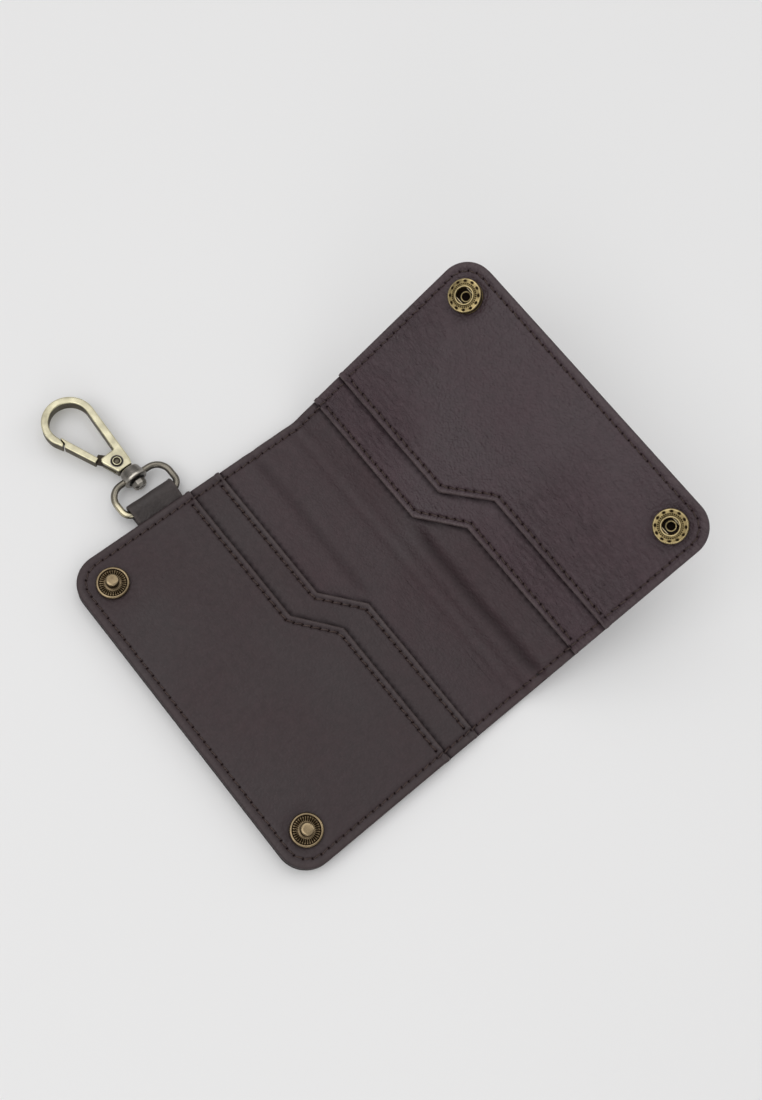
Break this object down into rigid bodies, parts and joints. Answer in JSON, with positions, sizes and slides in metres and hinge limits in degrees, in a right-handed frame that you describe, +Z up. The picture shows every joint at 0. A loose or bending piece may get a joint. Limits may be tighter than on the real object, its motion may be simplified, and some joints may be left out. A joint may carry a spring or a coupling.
{
  "type": "snap-button card wallet with swivel hook",
  "caption": "Bifold leather card wallet with stepped card pockets, snap fasteners at the outer corners and a swivel snap hook on a leather tab.",
  "frame": {"origin": "centre of the underside of the spine, where the open wallet rests", "axes": "+Y along the fold lines towards the hook, +Z up out of the open wallet, +X towards the cover with the sockets"},
  "size_m": [0.1458, 0.154, 0.0442],
  "materials": {
    "outer_leather": "smooth full-grain, satin",
    "inner_leather": "smooth full-grain, satin",
    "stiffener_board": "matte",
    "seam_thread": "waxed thread",
    "socket_brass": "antique brass, darkened recesses",
    "stud_bronze": "antique bronze",
    "hook_brass": "pale antique brass, brushed",
    "swivel_metal": "dark antique, worn bright on edges",
    "snap_spring": "satin"
  },
  "bodies": {
    "cover_left": {"outer_cover_left": "outer_leather", "stiffener_left": "stiffener_board", "lining_left": "inner_leather", "lower_pocket_left": "inner_leather", "upper_pocket_left": "inner_leather", "seam_cover_left": "seam_thread", "seam_lower_pocket_left": "seam_thread", "seam_upper_pocket_left": "seam_thread", "snap_stud_top": "stud_bronze", "snap_stud_bottom": "stud_bronze", "stud_back_top": "stud_bronze", "stud_back_bottom": "stud_bronze", "tab_anchor": "outer_leather"},
    "spine": {"outer_spine": "outer_leather", "lining_spine": "inner_leather", "seam_spine_top": "seam_thread", "seam_spine_bottom": "seam_thread"},
    "cover_right": {"outer_cover_right": "outer_leather", "stiffener_right": "stiffener_board", "lining_right": "inner_leather", "lower_pocket_right": "inner_leather", "upper_pocket_right": "inner_leather", "seam_cover_right": "seam_thread", "seam_lower_pocket_right": "seam_thread", "seam_upper_pocket_right": "seam_thread", "snap_socket_top": "socket_brass", "snap_socket_bottom": "socket_brass", "snap_cap_top": "socket_brass", "snap_cap_bottom": "socket_brass", "socket_spring_top": "snap_spring", "socket_spring_bottom": "snap_spring"},
    "tab": {"ring_tab": "outer_leather"},
    "ring": {"swivel_eye": "swivel_metal"},
    "hook": {"hook_body": "hook_brass", "swivel_pin": "swivel_metal", "gate_rivet": "swivel_metal"},
    "gate": {"hook_gate": "hook_brass"}
  },
  "joints": [
    {"name": "fold_left", "type": "hinge", "parent": "cover_left", "child": "spine", "pos_m": [-0.0044, 0, 0.0028], "axis": [0, -1, 0], "range_deg": [0, 90]},
    {"name": "fold_right", "type": "hinge", "parent": "spine", "child": "cover_right", "pos_m": [0.0044, 0, 0.0028], "axis": [0, -1, 0], "range_deg": [-32.8, 57.2]},
    {"name": "tab_flex", "type": "hinge", "parent": "cover_left", "child": "tab", "pos_m": [-0.0442, 0.0556, 0.0026], "axis": [1, 0, 0], "range_deg": [-30, 35], "stiffness_Nm_per_rad": 0.05},
    {"name": "ring_pivot", "type": "hinge", "parent": "tab", "child": "ring", "pos_m": [-0.0441, 0.0575, 0.0035], "axis": [1, 0, 0], "range_deg": [-80, 38]},
    {"name": "hook_swivel", "type": "hinge", "parent": "ring", "child": "hook", "pos_m": [-0.0443, 0.068, 0.0035], "axis": [0, 1, 0], "continuous": true},
    {"name": "gate_open", "type": "hinge", "parent": "hook", "child": "gate", "pos_m": [-0.0457, 0.0735, 0.0035], "axis": [0, 0, -1], "range_deg": [0, 28], "stiffness_Nm_per_rad": 0.02, "springref_deg": -17.19}
  ]
}
